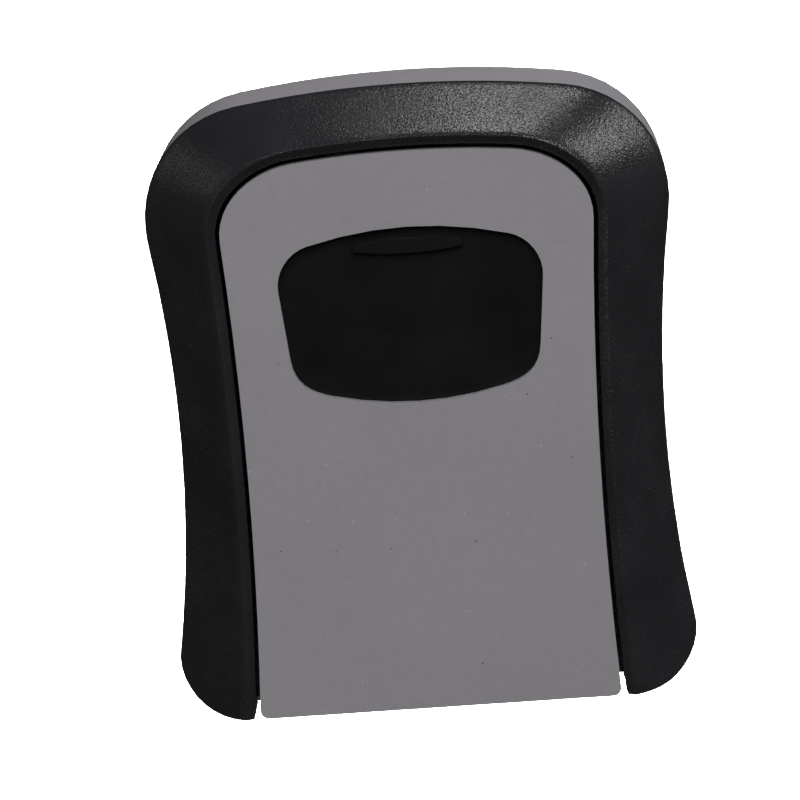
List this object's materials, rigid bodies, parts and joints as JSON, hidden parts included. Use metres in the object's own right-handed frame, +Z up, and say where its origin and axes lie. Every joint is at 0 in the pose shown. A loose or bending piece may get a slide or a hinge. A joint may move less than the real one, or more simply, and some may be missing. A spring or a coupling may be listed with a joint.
{
  "type": "key cabinet",
  "caption": "Small wall-mounted combination key box: grey case, black arched frame, drop-down grey door with a sliding shutter over number dials and a hooked lock bar inside.",
  "frame": {"origin": "on the case's back face, at the middle of its width and about the middle of its height, in the plane of the wall", "axes": "+Z up, +Y into the wall, +X to the right seen from the front; the door faces -Y"},
  "size_m": [0.0974, 0.0383, 0.115],
  "materials": {
    "case_paint": "satin",
    "door_paint": "satin",
    "frame_plastic": "grained",
    "shutter_plastic": "matte",
    "housing_plastic": "matte",
    "dial_plastic": "satin",
    "hub_brass": "satin",
    "comb_brass": "satin",
    "bar_steel": "brushed",
    "pin_steel": "polished",
    "knob_plastic": "satin",
    "screw_steel": "satin",
    "spring_steel": "satin"
  },
  "bodies": {
    "case": {"rear_case": "case_paint", "bezel_frame": "frame_plastic", "keeper_left": "bar_steel", "keeper_right": "bar_steel", "keeper_screw_left": "screw_steel", "keeper_screw_right": "screw_steel", "hinge_pin": "pin_steel", "bezel_screw_1": "screw_steel", "bezel_screw_2": "screw_steel", "bezel_screw_3": "screw_steel", "bezel_screw_4": "screw_steel"},
    "door": {"door_panel": "door_paint", "lock_chassis": "housing_plastic", "dial_face_plate": "housing_plastic", "chassis_cover": "housing_plastic", "dial_shaft": "pin_steel", "detent_spring": "spring_steel", "bar_spring": "spring_steel", "cover_screw_1": "screw_steel", "cover_screw_2": "screw_steel", "cover_screw_3": "screw_steel", "cover_screw_4": "screw_steel", "chassis_screw_1": "screw_steel", "chassis_screw_2": "screw_steel", "chassis_screw_3": "screw_steel", "chassis_screw_4": "screw_steel"},
    "shutter": {"shutter": "shutter_plastic"},
    "lock_bar": {"lock_bar": "bar_steel", "open_knob": "knob_plastic"},
    "reset_slide": {"reset_slide": "comb_brass"},
    "dial_1": {"dial_ring_1": "dial_plastic"},
    "hub_1": {"dial_hub_1": "hub_brass"},
    "dial_2": {"dial_ring_2": "dial_plastic"},
    "hub_2": {"dial_hub_2": "hub_brass"},
    "dial_3": {"dial_ring_3": "dial_plastic"},
    "hub_3": {"dial_hub_3": "hub_brass"},
    "dial_4": {"dial_ring_4": "dial_plastic"},
    "hub_4": {"dial_hub_4": "hub_brass"}
  },
  "joints": [
    {"name": "door_hinge", "type": "hinge", "parent": "case", "child": "door", "pos_m": [0, -0.031, -0.053], "axis": [1, 0, 0], "range_deg": [0, 95]},
    {"name": "shutter_slide", "type": "slide", "parent": "door", "child": "shutter", "axis": [0, 0, -1], "range_m": [0, 0.027]},
    {"name": "lock_bar_slide", "type": "slide", "parent": "door", "child": "lock_bar", "axis": [1, 0, 0], "range_m": [0, 0.0026], "stiffness_N_per_m": 300, "springref_m": 0.006, "deforming": ["bar_spring"]},
    {"name": "reset_slide_travel", "type": "slide", "parent": "door", "child": "reset_slide", "axis": [-1, 0, 0], "range_m": [-0.0012, 0]},
    {"name": "dial_1_spin", "type": "hinge", "parent": "door", "child": "dial_1", "pos_m": [-0.01575, -0.0264, 0.0155], "axis": [1, 0, 0], "continuous": true},
    {"name": "hub_1_slide", "type": "slide", "parent": "dial_1", "child": "hub_1", "axis": [-1, 0, 0], "range_m": [-0.0012, 0]},
    {"name": "dial_2_spin", "type": "hinge", "parent": "door", "child": "dial_2", "pos_m": [-0.00525, -0.0264, 0.0155], "axis": [1, 0, 0], "continuous": true},
    {"name": "hub_2_slide", "type": "slide", "parent": "dial_2", "child": "hub_2", "axis": [-1, 0, 0], "range_m": [-0.0012, 0]},
    {"name": "dial_3_spin", "type": "hinge", "parent": "door", "child": "dial_3", "pos_m": [0.00525, -0.0264, 0.0155], "axis": [1, 0, 0], "continuous": true},
    {"name": "hub_3_slide", "type": "slide", "parent": "dial_3", "child": "hub_3", "axis": [-1, 0, 0], "range_m": [-0.0012, 0]},
    {"name": "dial_4_spin", "type": "hinge", "parent": "door", "child": "dial_4", "pos_m": [0.01575, -0.0264, 0.0155], "axis": [1, 0, 0], "continuous": true},
    {"name": "hub_4_slide", "type": "slide", "parent": "dial_4", "child": "hub_4", "axis": [-1, 0, 0], "range_m": [-0.0012, 0]}
  ],
  "couplings": [
    {"joint": "hub_1_slide", "follows": "reset_slide_travel", "ratio": 1},
    {"joint": "hub_2_slide", "follows": "reset_slide_travel", "ratio": 1},
    {"joint": "hub_3_slide", "follows": "reset_slide_travel", "ratio": 1},
    {"joint": "hub_4_slide", "follows": "reset_slide_travel", "ratio": 1}
  ]
}
